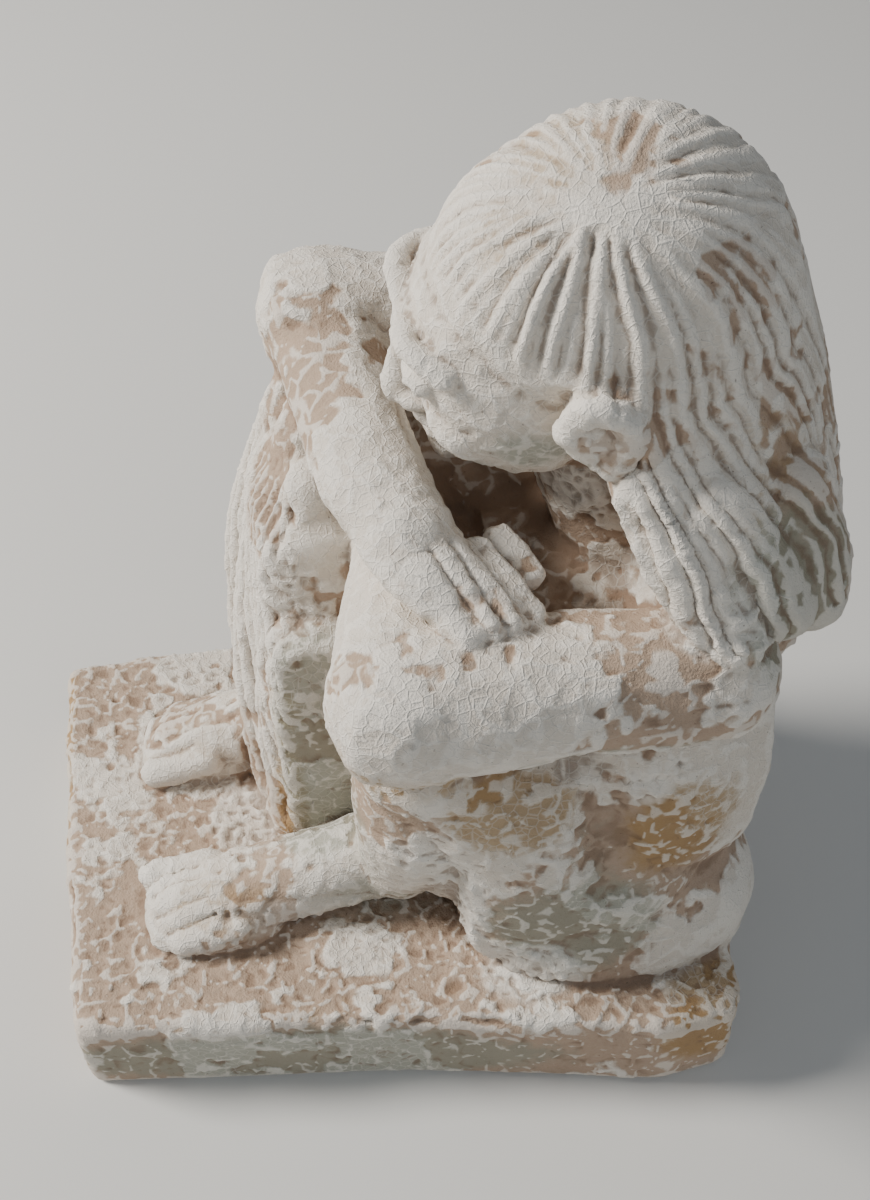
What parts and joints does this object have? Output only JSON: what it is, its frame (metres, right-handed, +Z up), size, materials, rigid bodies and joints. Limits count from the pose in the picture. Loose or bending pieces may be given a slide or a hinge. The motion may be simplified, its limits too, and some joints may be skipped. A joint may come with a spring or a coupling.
{
  "type": "crouching figure statuette on a plinth",
  "caption": "Crouching long-haired figure with knees drawn up, folded arms and bowed head, modelled in one piece with its slab plinth; a shelf or table statuette.",
  "frame": {"origin": "middle of the object's footprint box, on the underside of the plinth", "axes": "+Z up, the object's longest extent; the figure faces -Y, and its left side is +X"},
  "size_m": [0.1215, 0.1687, 0.2015],
  "materials": {
    "slipped_clay": "unglazed fired clay under a pale slip that has crackled and flaked, with ochre and grey-green stains"
  },
  "bodies": {
    "root": {"figure_on_plinth": "slipped_clay"}
  },
  "joints": []
}
